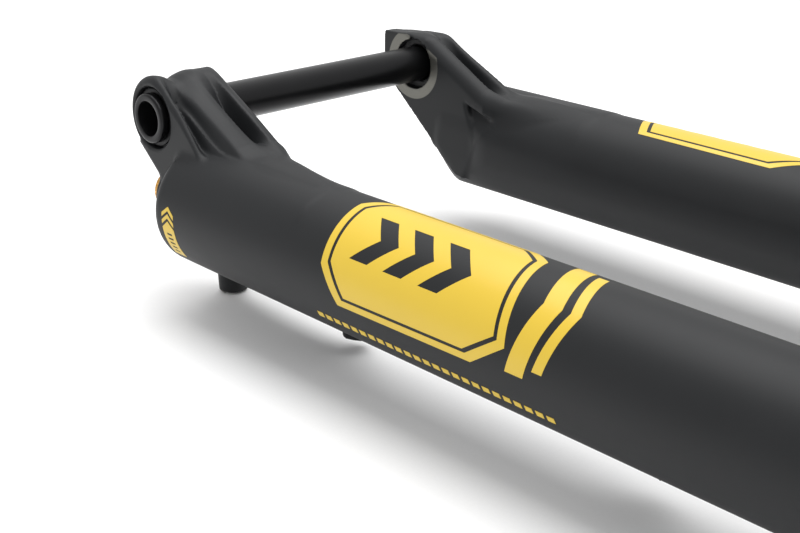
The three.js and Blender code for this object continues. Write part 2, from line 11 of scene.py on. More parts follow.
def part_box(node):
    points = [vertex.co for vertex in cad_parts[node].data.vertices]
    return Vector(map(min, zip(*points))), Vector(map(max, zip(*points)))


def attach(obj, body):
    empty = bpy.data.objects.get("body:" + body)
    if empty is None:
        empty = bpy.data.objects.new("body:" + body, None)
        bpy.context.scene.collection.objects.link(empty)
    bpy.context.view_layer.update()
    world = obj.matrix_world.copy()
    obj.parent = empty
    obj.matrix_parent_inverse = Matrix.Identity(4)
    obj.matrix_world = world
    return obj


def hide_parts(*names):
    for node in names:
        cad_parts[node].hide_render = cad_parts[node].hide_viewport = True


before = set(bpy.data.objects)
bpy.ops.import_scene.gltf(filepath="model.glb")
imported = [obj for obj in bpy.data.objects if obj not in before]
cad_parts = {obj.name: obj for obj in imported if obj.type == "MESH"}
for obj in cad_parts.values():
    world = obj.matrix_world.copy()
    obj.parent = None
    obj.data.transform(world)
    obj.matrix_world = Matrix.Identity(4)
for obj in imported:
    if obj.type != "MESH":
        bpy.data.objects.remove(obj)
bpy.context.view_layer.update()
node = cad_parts

# ---- lowers: one magnesium casting, painted satin black ------------------------------------
# Two tubes, the arch in front of the tyre, the dropouts and the brake posts are cast in one
# piece, then bored and faced. Its ribs and pockets leave a wall of some 3 mm everywhere.
#
# Where the fork lies: it rests on its back with the legs along X, the left leg at -Y.
# The axle's centre is the origin of every size below, and all of them are millimetres.
axle_low, axle_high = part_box("thru_axle")
AXLE = np.array([(axle_low.x + axle_high.x) / 2, 0.0, (axle_low.z + axle_high.z) / 2])
MM = 0.001
LEG_Y = 72.0
LEG_Z = -30.3


def in_row(points):
    """Millimetres from the axle's centre, turned into the row's metres."""
    return np.asarray(points, float) * MM + AXLE


# A finish is one Principled surface. Sums on a Signal read as arithmetic and add the Math
# nodes; any other node comes from Finish.node with its type, settings and sockets.


class Signal:
    def __init__(self, finish, socket):
        self.finish = finish
        self.socket = socket

    def sum(self, operation, first, second=0.0):
        return self.finish.sum(operation, first, second)

    def __add__(self, other):
        return self.sum("ADD", self, other)

    def __sub__(self, other):
        return self.sum("SUBTRACT", self, other)

    def __rsub__(self, other):
        return self.sum("SUBTRACT", other, self)

    def __mul__(self, other):
        return self.sum("MULTIPLY", self, other)

    __radd__ = __add__
    __rmul__ = __mul__

    def root(self):
        return self.sum("SQRT", self)

    def size(self):
        return self.sum("ABSOLUTE", self)

    def rises(self, low, high):
        """0 below low, 1 above high, smooth between; swap them to fall instead."""
        kind = {"interpolation_type": "SMOOTHSTEP", "clamp": True}
        return self.finish.node("ShaderNodeMapRange", kind, {0: self, 1: low, 2: high, 3: 0.0, 4: 1.0})


class Finish:
    def __init__(self, name, colour, roughness, metallic=0.0):
        self.material = bpy.data.materials.new(name)
        self.material.use_nodes = True
        self.tree = self.material.node_tree
        self.surface = next(n for n in self.tree.nodes if n.type == "BSDF_PRINCIPLED")
        self.set("Base Color", (*colour, 1.0))
        self.set("Roughness", roughness)
        self.set("Metallic", metallic)
        self.place = self.node("ShaderNodeTexCoord", output="Object")

    def set(self, socket, value):
        if isinstance(value, Signal):
            self.tree.links.new(value.socket, self.surface.inputs[socket])
        else:
            self.surface.inputs[socket].default_value = value

    def node(self, kind, settings=None, sockets=None, output=0):
        made = self.tree.nodes.new(kind)
        for setting, value in (settings or {}).items():
            setattr(made, setting, value)
        for socket, value in (sockets or {}).items():
            if isinstance(value, Signal):
                self.tree.links.new(value.socket, made.inputs[socket])
            else:
                made.inputs[socket].default_value = value
        return Signal(self, made.outputs[output])

    def sum(self, operation, first, second=0.0):
        return self.node("ShaderNodeMath", {"operation": operation}, {0: first, 1: second})

    def noise(self, per_metre, detail=3.0, stretch=(1.0, 1.0, 1.0), rough=0.55):
        place = self.node("ShaderNodeMapping", None, {"Vector": self.place, "Scale": stretch})
        sockets = {"Vector": place, "Scale": per_metre, "Detail": detail, "Roughness": rough}
        return self.node("ShaderNodeTexNoise", None, sockets)

    def mixed(self, mask, under, over):
        kind = {"data_type": "RGBA"}
        under = under if isinstance(under, Signal) else (*under, 1.0)
        over = over if isinstance(over, Signal) else (*over, 1.0)
        return self.node("ShaderNodeMix", kind, {0: mask, 6: under, 7: over}, output=2)

    def axes(self):
        """Object position split in three, in millimetres from the axle's centre."""
        return [
            (self.node("ShaderNodeSeparateXYZ", None, {0: self.place}, output=i) - AXLE[i]) * 1000.0
            for i in range(3)
        ]

    def bump(self, height, distance, strength=1.0):
        sockets = {"Height": height, "Distance": distance, "Strength": strength}
        self.set("Normal", self.node("ShaderNodeBump", None, sockets))


def dress(obj, finish):
    """Puts one finish on a new piece or on a node that is kept."""
    obj.data.materials.clear()
    obj.data.materials.append(finish.material)
    return obj


def piece(name, vertices, faces, finish, body, stands_for=(), smooth=True):
    """A finished mesh in the row's frame that moves with one body of the fork."""
    mesh = bpy.data.meshes.new(name)
    mesh.from_pydata([tuple(v) for v in vertices], [], [tuple(f) for f in faces])
    mesh.validate()
    mesh.update()
    obj = bpy.data.objects.new(name, mesh)
    bpy.context.scene.collection.objects.link(obj)
    mesh.polygons.foreach_set("use_smooth", [smooth] * len(mesh.polygons))
    dress(obj, finish)
    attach(obj, body)
    if stands_for:
        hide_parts(*stands_for)
    return obj


# The casting's own sizes. The left leg is at -Y, and s below is the distance from the middle.
LEG_R = 22.4
LEG_END = 14.2
LEG_TOP = 330.0
FACE_IN = 51.8
FACE_OUT = 82.0
RIGHT_FACE_OUT = 69.0
BOSS_R = 15.2


def blended(a, b, k):
    """Two shapes joined with a fillet about k wide."""
    h = np.maximum(k - np.abs(a - b), 0) / k
    return np.minimum(a, b) - h * h * k / 4


def cut(a, b, k=0.6):
    """Shape a with shape b taken away, the new edge eased by k."""
    return -blended(-a, b, k)


def both(a, b, radius):
    """Where two shapes overlap, with the edge between them turned to a radius."""
    u = np.maximum(a + radius, 0)
    v = np.maximum(b + radius, 0)
    return np.minimum(-radius, np.maximum(a, b)) + np.hypot(u, v)


def eased(value, low, high):
    t = np.clip((value - low) / (high - low), 0, 1)
    return t * t * (3 - 2 * t)


def outline(u, v, corners):
    """Signed distance in a plane to a closed outline."""
    corners = np.asarray(corners, float)
    nearest = None
    inside = None
    for (u0, v0), (u1, v1) in zip(corners, np.roll(corners, -1, axis=0)):
        du, dv = u1 - u0, v1 - v0
        if not (du or dv):
            continue
        t = np.clip(((u - u0) * du + (v - v0) * dv) / (du * du + dv * dv), 0, 1)
        d = (u - u0 - t * du) ** 2 + (v - v0 - t * dv) ** 2
        side = (v0 > v) != (v1 > v)
        with np.errstate(divide="ignore", invalid="ignore"):
            crossing = side & (u < u0 + (v - v0) * du / dv) if dv else side & False
        nearest = d if nearest is None else np.minimum(nearest, d)
        inside = crossing if inside is None else inside ^ crossing
    return np.where(inside, -1.0, 1.0) * np.sqrt(nearest)


# How far the dropout's top sinks below its plain outline, across it (distance from the
# fork's middle) and along it: the long pocket, the ridge, two flutes with a thin rib
# between them, and the outer plate. The right dropout ends at its ridge.
ACROSS = [
    48, 58, 59.2, 60.6, 62.2, 63.8, 65.2, 68, 71, 73, 74.2,
    75.0, 75.8, 76.6, 77.5, 78.6, 79.8, 82, 96,
]
ALONG = {
    -20: [0.4, 0.4, 0.3, 0.2, 0.1, 0, 0.2, 0.9, 2.2, 2.2, 1.4, 0.8, 0.4, 0.1, 0, -0.3, -0.3, 0, 0],
    2: [0.4, 0.4, 0.3, 0.3, 0.1, 0, 0.2, 0.9, 2.2, 2.3, 1.6, 1.1, 0.7, 0.4, 0.2, 0, 0, 0.2, 0.2],
    9: [0.4, 0.4, 0.9, 1.6, 1.0, 0.5, 0.3, 0.6, 1.6, 2.4, 3.2, 4.6, 5.4, 6.2, 6.6, 3.6, 1.6, 1.6, 2],
    16: [0.4, 0.4, 4, 7.0, 4.6, 2.6, 0.6, 0.2, 0.4, 0.9, 1.8, 4.4, 5.0, 5.0, 7.6, 7, 3.0, 2.8, 3],
    22: [0.4, 0.5, 5.5, 9.5, 6.2, 4.2, 0.8, 0.1, 0.3, 0.8, 1.6, 5.0, 5.4, 5.0, 9.0, 9.4, 5.8, 5.6, 6],
    28: [0.6, 0.5, 5.5, 9.5, 6.2, 4.2, 0.8, 0, 0.2, 0.7, 1.6, 5.4, 5.8, 5.4, 9.4, 11, 9, 9, 9],
    34: [0.8, 0.4, 3.0, 5.5, 4.0, 2.6, 0.6, 0, 0.1, 0.5, 1.4, 4.8, 5.0, 5.4, 8.6, 10, 10, 10, 10],
    40: [1, 0.3, 0.7, 1.2, 1.0, 0.6, 0.2, 0, 0.1, 0.4, 1.2, 4, 3.6, 4.5, 7, 9, 10, 10, 10],
    46: [1, 0.2, 0.2, 0.2, 0.1, 0.1, 0, 0.1, 0.8, 1.4, 2.4, 3.2, 4, 5, 7, 8, 10, 10, 10],
    80: [1, 0.2, 0.2, 0.2, 0.1, 0, 0, 0.3, 1.4, 2.4, 3.4, 4.4, 5, 6, 7, 8, 10, 10, 10],
}
RIGHT_ACROSS = [48, 58, 59.2, 60.6, 62.2, 63.6, 64.6, 66, 67.5, 69, 96]
RIGHT_ALONG = {
    -20: [0, 0.4, 0.6, 0.9, 1.2, 1.5, 1.7, 2.0, 2.6, 3.4, 3.4],
    2: [0, 0.3, 0.4, 0.6, 0.8, 0.9, 1.0, 1.2, 1.8, 2.6, 2.6],
    9: [0, 0.4, 1.6, 3.2, 2.4, 1.0, 0.7, 0.9, 1.6, 2.6, 2.6],
    16: [0, 0.4, 4.5, 8, 8, 5.5, 1.6, 1.2, 1.9, 3, 3],
    22: [0.2, 0.5, 6, 10.5, 10.5, 7, 2.0, 1.2, 1.8, 3, 3],
    28: [0.4, 0.5, 6, 10.5, 9.6, 6, 1.6, 1.0, 1.4, 2.6, 3],
    34: [0.6, 0.4, 4.5, 8, 6.5, 3.5, 1.0, 0.4, 0.8, 2, 3],
    40: [0.8, 0.2, 1.8, 3.5, 3, 1.6, 0.3, 0.1, 0.4, 1.5, 3],
    46: [0.8, 0, 0, 0.3, 0.2, 0, 0, 0, 0.3, 1.2, 3],
    80: [0.8, 0, 0, 0, 0, 0, 0, 0, 0.3, 1.5, 4],
}
S_STEP, X_STEP = 0.25, 0.5
s_line = np.arange(48, 96 + S_STEP, S_STEP)
x_line = np.arange(-20, 80 + X_STEP, X_STEP)


def softened(table, width, axis):
    reach = int(3 * width) + 1
    weight = np.exp(-0.5 * (np.arange(-reach, reach + 1) / width) ** 2)
    weight /= weight.sum()
    pad = [(0, 0), (0, 0)]
    pad[axis] = (reach, reach)
    padded = np.pad(table, pad, mode="edge")
    return np.apply_along_axis(lambda row: np.convolve(row, weight, mode="valid"), axis, padded)


def relief(across, along):
    """A fine table of how far the top sinks, from the few profiles given."""
    rows = np.array([np.interp(s_line, across, depth) for depth in along.values()])
    table = np.array([np.interp(x_line, list(along), column) for column in rows.T]).T
    return softened(softened(table, 1.6 / X_STEP, 0), 0.3 / S_STEP, 1)


left_relief = relief(ACROSS, ALONG)
right_relief = relief(RIGHT_ACROSS, RIGHT_ALONG)


def sunk_at(sunk, x, s):
    i = np.clip((x - x_line[0]) / X_STEP, 0, len(x_line) - 1.001)
    j = np.clip((s - s_line[0]) / S_STEP, 0, len(s_line) - 1.001)
    i0, j0 = i.astype(int), j.astype(int)
    fi, fj = i - i0, j - j0
    low = sunk[i0, j0] * (1 - fj) + sunk[i0, j0 + 1] * fj
    high = sunk[i0 + 1, j0] * (1 - fj) + sunk[i0 + 1, j0 + 1] * fj
    return low * (1 - fi) + high * fi


ARM = [
    (7.1, 13.4), (28, 2.4), (40, -4.4), (49, -7.4), (60, -8.4), (84, -9.2), (40, -27.5), (31, -45),
    (26.5, -44), (-12.1, -11.3),
]
TAB = [(-18.4, 12.6), (-4, 13.4), (4, 8), (-8, -8), (-18.4, -1)]
LOW_SIDE = ([48, 51, 59, 61, 73, 75, 82, 96], [0, 0, 0.3, 3.2, 3.2, 0.3, 0.3, 0.3])
POST_Y = -56.0


def leg_tube(x, s, z):
    off = np.hypot(s - LEG_Y, z - LEG_Z)
    flare = 0.2 * eased(x, 20, 282) + 2.7 * eased(x, 281, 301)
    turn = np.degrees(np.arctan2(z - LEG_Z, s - LEG_Y))
    pad_end = 92 - 0.03 * turn
    pad = eased(turn, 30, 60) * eased(-turn, -150, -120) * (1 - eased(x, pad_end, pad_end + 3))
    tube = both(off - (LEG_R + flare + 0.3 * pad), LEG_END - x, 5.6)
    heel = -0.6465 * x - 0.763 * z - 16.4
    tube = both(tube, heel - 1.1 * (s - FACE_IN), 3.0)
    tube = both(tube, x - LEG_TOP, 1.6)
    foot = both(both(off - 12, 2.0 - x, 1.2), x - 30, 1)
    return blended(tube, foot, 3.0), off


def dropout(x, s, z, relief_table, face_out, corner, boss_top):
    flat = np.minimum(np.hypot(x, z) - BOSS_R, outline(x, z, ARM))
    if corner:
        flat = blended(flat, outline(x, z, TAB), 1.0)
    flat = both(flat, z - boss_top, 2.5)
    low_side = eased(-0.642 * x - 0.766 * z, 0, 9)
    every = 0 * x + 0 * s + 0 * z
    shape = flat + sunk_at(relief_table, x + every, s + every) * (1 - low_side)
    shape = shape + np.interp(s, *LOW_SIDE) * low_side
    inner_round = 0.8 + 5.2 * eased(0.466 * x + 0.885 * z, -4, 6) * eased(x, -8, 6)
    face_in = FACE_IN + 0.38 * np.maximum(0, x - 42)
    hollow = both(outline(x, z, [(32, -12), (48, -17), (38, -28)]), s - 55.5, 1.5)
    outer_round = 3.2 - 1.6 * eased(x, 12, 26)
    shape = both(shape, face_in - s, inner_round)
    return cut(both(shape, s - face_out, outer_round), hollow, 2.0)


def bezier_line(*curves, steps=14):
    points = []
    for p0, p1, p2, p3 in curves:
        bits = interpolate_bezier(*[Vector((*p, 0)) for p in (p0, p1, p2, p3)], steps)
        points += [(b.x, b.y) for b in bits[:-1]]
    return points


ARCH = (
    [(288, 0), (292, 86), (322, 84)]
    + bezier_line(((322, 84), (368, 74), (392, 44), (392, 0)))
    + [(392, 0)]
)
ARCH_IN = (
    [(371, -20)]
    + bezier_line(((371, 0), (371, 34), (345, 54), (284, 56)))
    + [(284, 56), (230, 56), (230, -20)]
)
HOLLOW = (
    bezier_line(((344, 58), (372, 50), (387, 30), (387, 0)))
    + [(387, 0), (387, -4), (376, -4), (376, 0)]
    + bezier_line(((376, 0), (376, 24), (366, 42), (344, 51)))
)


ARCH_MIDDLE, ARCH_HALF = 7.0, 10.0
FENDER_X, FENDER_Y = 381, 22


def arch(x, s, z):
    crest = outline(x, s, [(392, -20), (280, -20), (280, 86), (292, 86), *ARCH[2:]])
    wheel = outline(x, s, ARCH_IN)
    plan = np.maximum(crest, -wheel)
    height = np.abs(z - ARCH_MIDDLE) - ARCH_HALF
    body = both(plan, height, 4.0)
    root = both(both(np.abs(x - 309) - 19, np.abs(s - 72) - 17, 4), np.abs(z + 6) - 13, 4)
    body = blended(body, root, 8.0)
    hollow = np.maximum(outline(x, s, HOLLOW), np.maximum(z - 12, -8 - z))
    body = cut(body, hollow, 1.5)
    fender = np.hypot(x - FENDER_X, s - FENDER_Y)
    body = blended(body, both(fender - 4.6, np.maximum(-3 - z, z - 14), 0.8), 1.5)
    return cut(body, np.maximum(fender - 2.1, z - 8))


POST_X, POST_Z = 11.0, -72.0
POST_SPACING, POST_RISE = 74.2, 4.5
POST_R, POST_HOLE_R = 5.7, 2.6


def brake_mounts(x, y, z):
    tilt = math.asin(POST_RISE / POST_SPACING)
    shape = None
    holes = None
    for along, length in ((0.0, 38.0), (POST_SPACING, 30.0)):
        px, pz = POST_X + along * math.cos(tilt), POST_Z + along * math.sin(tilt)
        up = (x - px) * -math.sin(tilt) + (z - pz) * math.cos(tilt)
        aside = (x - px) * math.cos(tilt) + (z - pz) * math.sin(tilt)
        off = np.hypot(aside, y - POST_Y)
        post = both(off - POST_R - 0.02 * up, np.maximum(-up, up - length), 0.7)
        hole = np.maximum(off - POST_HOLE_R - 0.6 * (1 - eased(up, 0, 0.7)), up - 14)
        shape = post if shape is None else np.minimum(shape, post)
        holes = hole if holes is None else np.minimum(holes, hole)
    web = outline(x, z, [(15, -40), (104, -40), (86, -58), (48, -56.5), (15, -62)])
    shape = blended(shape, both(web, np.abs(y - POST_Y) - 4, 1.5), 5.0)
    return shape, holes


GUIDE_X, GUIDE_Y = 214, -60
AXLE_BORE_R, HUB_RECESS_R, HEAD_RECESS_R, INSERT_BORE_R = 7.8, 10.6, 11.5, 9.9
LEG_BORE_R, SEAL_POCKET_R, ROD_HOLE_R, FOOT_RECESS_R = 19.5, 22.9, 4.4, 9.4


def casting(x, y, z):
    """Signed distance to the finished casting at points given in millimetres."""
    s = np.abs(y)
    tube, off = leg_tube(x, s, z)
    left = dropout(x, s, z, left_relief, FACE_OUT, False, 40.0)
    right = dropout(x, s, z, right_relief, RIGHT_FACE_OUT, True, 13.4)
    shell = np.where(y < 0, left, right)
    trim = 51.6 - 2.4 * eased(x, 34, 47)
    tube = both(tube, trim - s, 1.2)
    shell = blended(shell, tube, 2.2 + 5.0 * eased(x, 44, 62))
    shell = blended(shell, arch(x, s, z), 7.0)
    mounts, holes = brake_mounts(x, y, z)
    shell = blended(shell, mounts, 5.0)
    boss = np.hypot(x - GUIDE_X, y - GUIDE_Y)
    shell = blended(shell, both(boss - 4.5, np.maximum(-51.8 - z, z + 44), 0.6), 2.0)
    shell = cut(shell, holes, 0.4)
    shell = cut(shell, np.maximum(boss - 1.8, z + 46.8), 0.3)
    across = np.hypot(x, z)
    shell = cut(shell, np.maximum(across - AXLE_BORE_R, 40 - s), 0.4)
    shell = cut(shell, np.maximum(across - HUB_RECESS_R, s - 55), 0.5)
    shell = cut(shell, np.maximum(across - HEAD_RECESS_R, FACE_OUT - 3.2 + y), 1.4)
    shell = cut(shell, np.maximum(across - INSERT_BORE_R, 57 - y), 0.4)
    shell = cut(shell, np.maximum(off - LEG_BORE_R, 26 - x), 0.4)
    shell = cut(shell, np.maximum(off - SEAL_POCKET_R, 302 - x), 0.4)
    shell = cut(shell, np.maximum(off - ROD_HOLE_R, x - 31), 0.3)
    return cut(shell, np.maximum(off - FOOT_RECESS_R, x - 8.5), 0.8)


def stations(*spans):
    marks = [np.arange(start, stop, step) for start, stop, step in spans]
    return np.concatenate(marks + [[spans[-1][1]]])


def slope_at(shape, points, reach=0.12):
    slopes = []
    for i in range(3):
        step = np.zeros(3)
        step[i] = reach
        slopes.append((shape(*(points + step).T) - shape(*(points - step).T)) / (2 * reach))
    return np.stack(slopes, 1)


def skinned(shape, xs, ys, zs):
    """The surface of a shape given as signed distance: points in mm, faces and normals."""
    field = shape(xs[:, None, None], ys[None, :, None], zs[None, None, :])
    grid = openvdb.FloatGrid(background=3.0)
    grid.copyFromArray(np.clip(field, -3, 3).astype(np.float32))
    corners, triangles, quads = grid.convertToPolygons(isovalue=0.0, adaptivity=0.0)
    corners = np.asarray(corners, float)
    lines = [np.interp(corners[:, i], np.arange(len(line)), line) for i, line in enumerate((xs, ys, zs))]
    spots = np.stack(lines, 1)
    for settle in range(2):
        slope = slope_at(shape, spots)
        steep = np.maximum((slope ** 2).sum(1, keepdims=True), 0.25)
        push = shape(*spots.T)[:, None] * slope / steep
        length = np.linalg.norm(push, axis=1, keepdims=True)
        spots -= push * np.minimum(1, 0.5 / np.maximum(length, 1e-9))
    outward = slope_at(shape, spots)
    outward /= np.maximum(np.linalg.norm(outward, axis=1, keepdims=True), 1e-9)
    faces = [tuple(q) for q in quads] + [tuple(t) for t in triangles]
    a, b, c = (spots[quads[:, i]] for i in range(3))
    if (np.cross(b - a, c - a) * outward[quads[:, 0]]).sum() < 0:
        faces = [face[::-1] for face in faces]
    return spots, faces, outward


def skin_piece(name, skin, finish, body, stands_for):
    spots, faces, outward = skin
    obj = piece(name, in_row(spots), faces, finish, body, stands_for)
    obj.data.normals_split_custom_set_from_vertices([tuple(n) for n in outward])
    return obj


# Satin black paint over the casting, left off where the hub, the caliper and the bolts
# seat: those faces are bare metal with the rings that the facing cutter left.
magnesium = Finish("magnesium_satin_black", (0.008, 0.0084, 0.009), 0.46)
mottle = magnesium.noise(38.0, 3.0)
speck = magnesium.noise(2600.0, 2.0)
x_mm, y_mm, z_mm = magnesium.axes()
from_axle = (x_mm * x_mm + z_mm * z_mm).root()
hub_face = from_axle.rises(15.3, 15.0) * y_mm.size().rises(52.25, 52.05)
post_face = z_mm.rises(-71.2, -71.6) * (y_mm + 56).size().rises(7.2, 7.0)
bare = magnesium.sum("MAXIMUM", hub_face, post_face)
rings = magnesium.sum("SINE", from_axle * 18.0) * 0.5 + 0.5
paint = magnesium.mixed(mottle, (0.0072, 0.0078, 0.0088), (0.011, 0.0118, 0.013))
cast = magnesium.node("ShaderNodeNewGeometry", output="Pointiness").rises(0.52, 0.6)
paint = magnesium.mixed(cast * 0.35, paint, (0.03, 0.031, 0.032))
metal = magnesium.mixed(rings, (0.12, 0.118, 0.105), (0.17, 0.167, 0.15))
magnesium.set("Base Color", magnesium.mixed(bare, paint, metal))
magnesium.set("Metallic", bare * 0.9)
magnesium.set("Roughness", 0.42 + mottle * 0.1 + speck * 0.06 - bare * 0.12)
magnesium.set("Specular IOR Level", 0.27)
magnesium.bump(speck * (1.0 - bare) + rings * bare * 1.5, 0.00002, 0.6)

xs = stations((-19, 46, 1.0), (46, 96, 2.2), (96, 280, 8.0), (280, 334, 2.3), (334, 396, 2.6))
half = stations((0, 46, 3.2), (46, 70, 1.2), (70, 83, 0.8), (83, 98, 1.2))
ys = np.concatenate([-half[:0:-1], half])
zs = stations((-75.5, -52, 1.6), (-52, 20, 1.2))
casting_skin = skinned(casting, xs, ys, zs)
skin_piece("lowers_shell", casting_skin, magnesium, "lowers", ["lowers_casting"])

# ---- axle: black anodised 15 mm aluminium, with a steel insert in the right dropout ----------
# Hollow bar turned in one piece with its flanged head, which bears on a steel washer. Its far
# end runs in the steel insert that is pressed into the right dropout.


def rounded(profile, radius=0.35):
    """A turned outline with each of its corners eased."""
    points = []
    count = len(profile)
    for i, here in enumerate(profile):
        here = Vector(here)
        before, after = Vector(profile[i - 1]), Vector(profile[(i + 1) % count])
        ends = (i == 0 and here.y < 1e-6) or (i == count - 1 and here.y < 1e-6)
        if ends:
            points.append(tuple(here))
            continue
        a, b = before - here, after - here
        reach = min(radius, a.length * 0.45, b.length * 0.45)
        start, end = here + a.normalized() * reach, here + b.normalized() * reach
        points += [tuple(start.lerp(here, t).lerp(here.lerp(end, t), t)) for t in (0.0, 0.5, 1.0)]
    return points


def turned(profile, middle=(0.0, 0.0), along="x", sides=72, radius=0.35):
    """Points and faces of a turned piece: profile pairs are (station, radius) in mm."""
    outline_points = rounded(profile, radius) if radius else list(profile)
    rings, vertices, faces = [], [], []
    for station, r in outline_points:
        if r < 1e-6:
            rings.append([len(vertices)] * sides)
            vertices.append((station, 0.0, 0.0))
            continue
        rings.append(list(range(len(vertices), len(vertices) + sides)))
        for k in range(sides):
            angle = 2 * math.pi * k / sides
            vertices.append((station, r * math.cos(angle), r * math.sin(angle)))
    pairs = list(zip(rings, rings[1:]))
    if outline_points[0][1] > 1e-6:
        pairs.append((rings[-1], rings[0]))
    for first, second in pairs:
        for k in range(sides):
            m = (k + 1) % sides
            corners = list(dict.fromkeys([first[k], first[m], second[m], second[k]]))
            if len(corners) > 2:
                faces.append(corners)
    vertices = np.array(vertices)
    if along == "y":
        vertices = np.stack([vertices[:, 1], vertices[:, 0], vertices[:, 2]], 1)
        faces = [face[::-1] for face in faces]
    offset = (0, *middle) if along == "x" else (middle[0], 0, middle[1])
    vertices = vertices + np.array(offset)
    volume = 0.0
    for face in faces:
        p = vertices[face]
        for i in range(1, len(face) - 1):
            volume += np.dot(p[0], np.cross(p[i], p[i + 1]))
    if volume < 0:
        faces = [face[::-1] for face in faces]
    return vertices, faces


def turned_piece(name, profile, finish, body, slot, stands_for=(), **way):
    vertices, faces = turned(profile, **way)
    obj = piece(name, in_row(vertices), faces, finish, body, stands_for)
    mark_edges(obj)
    return obj


def mark_edges(obj, degrees=34.0):
    """Keeps true edges crisp under smooth shading."""
    mesh = obj.data
    work = bmesh.new()
    work.from_mesh(mesh)
    for edge in work.edges:
        if len(edge.link_faces) == 2 and edge.calc_face_angle(0.0) > math.radians(degrees):
            edge.smooth = False
    work.to_mesh(mesh)
    work.free()


def anodised(name, colour, roughness, lines_per_mm=5.0, metallic=0.75, axis=1):
    """Anodised aluminium: fine turning lines, a faint bloom and paler worn edges."""
    finish = Finish(name, colour, roughness, metallic)
    station = finish.axes()[axis]
    lathe = finish.sum("SINE", station * lines_per_mm * 6.283) * 0.5 + 0.5
    bloom = finish.noise(60.0, 4.0)
    edge = finish.node("ShaderNodeNewGeometry", output="Pointiness").rises(0.53, 0.62)
    deep = tuple(c * 0.8 for c in colour)
    pale = tuple(min(1.0, c * 1.7 + 0.01) for c in colour)
    body = finish.mixed(bloom, deep, colour)
    finish.set("Base Color", finish.mixed(edge * 0.5, body, pale))
    finish.set("Roughness", roughness - 0.04 + bloom * 0.08 + lathe * 0.03)
    finish.bump(lathe * 0.6 + finish.noise(3000.0, 1.0) * 0.4, 0.000006, 0.5)
    return finish


black_axle = anodised("anodised_black_axle", (0.012, 0.012, 0.013), 0.3, 4.0)
turned_piece(
    "axle_shaft",
    [(-83.7, 6.5), (-83.7, 8.7), (-83.1, 9.3), (-80.7, 9.3), (-80.7, 7.5), (68, 7.5), (69, 6.5), (69, 5),
     (-67.7, 5), (-67.7, 6.5)],
    black_axle, "axle", "black_anodised", ["thru_axle"], along="y", radius=0.5,
)

black_oxide = anodised("steel_black_oxide", (0.02, 0.02, 0.021), 0.42, 3.0, 0.9)
turned_piece(
    "axle_head_washer", [(-80.4, 7.8), (-80.4, 10.6), (-79.1, 10.6), (-79.1, 7.8)],
    black_oxide, "axle_carrier", "steel", ["axle_washer"], along="y", radius=0.2,
)
turned_piece(
    "axle_thread_insert",
    [(57.3, 7.8), (57.3, 9.6), (66.6, 9.6), (66.9, 9.2), (67.2, 9.6), (68.5, 9.6), (68.5, 7.8)]
    + [(68.0 - 0.5 * k, 7.8 - 0.14 * (k % 2)) for k in range(1, 20)],
    black_oxide, "lowers", "steel", ["axle_insert"], along="y", radius=0.0,
)

# ---- bushings, foam rings and wipers: what each stanchion slides in --------------------------
# Two coated bronze bushings are pressed into each leg. Above them an oiled foam ring and a
# rubber dust wiper, moulded on a steel ring and held by its lip, sit in the leg's mouth.
bronze = Finish("bushing_bronze_coated", (0.16, 0.12, 0.05), 0.5, 0.6)
weave = bronze.node("ShaderNodeTexVoronoi", {"feature": "F1"}, {"Vector": bronze.place, "Scale": 1500.0})
bronze.set("Base Color", bronze.mixed(weave, (0.20, 0.15, 0.06), (0.07, 0.06, 0.04)))
bronze.set("Roughness", 0.42 + bronze.noise(300.0) * 0.2)
bronze.bump(weave, 0.00003, 0.5)

foam = Finish("oiled_foam", (0.035, 0.034, 0.028), 0.9)
cells = foam.node("ShaderNodeTexVoronoi", {"feature": "F1"}, {"Vector": foam.place, "Scale": 1800.0})
foam.set("Base Color", foam.mixed(cells, (0.012, 0.012, 0.01), (0.06, 0.058, 0.048)))
foam.set("Roughness", 0.75 + cells * 0.2)
foam.bump(cells, 0.0003, 1.0)

rubber = Finish("nitrile_rubber", (0.012, 0.012, 0.012), 0.6)
dusting = rubber.noise(140.0, 4.0)
rubber.set("Base Color", rubber.mixed(dusting, (0.009, 0.009, 0.009), (0.02, 0.02, 0.02)))
rubber.set("Roughness", 0.5 + dusting * 0.25)
rubber.bump(rubber.noise(1800.0, 2.0), 0.00002, 0.6)

for side, y in (("left", -LEG_Y), ("right", LEG_Y)):
    dress(node[f"lower_bushing_{side}"], bronze)
    dress(node[f"upper_bushing_{side}"], bronze)
    dress(node[f"foam_ring_{side}"], foam)
    turned_piece(
        f"wiper_seal_{side}",
        [(311.4, 19), (311.4, 22.6), (330.3, 22.6), (330.3, 24.6), (331.4, 24.6), (331.9, 24.1),
         (332.5, 24.3), (334.0, 22.4), (334.4, 21.4), (334.2, 20.9), (335.5, 20.2), (335.5, 18.3),
         (334.0, 18.25),
         (333.2, 18.8), (327.5, 18.8), (326, 18.3), (325, 19)],
        rubber, "lowers", "rubber", [f"dust_wiper_{side}"], middle=(y, LEG_Z), sides=96, radius=0.25,
    )

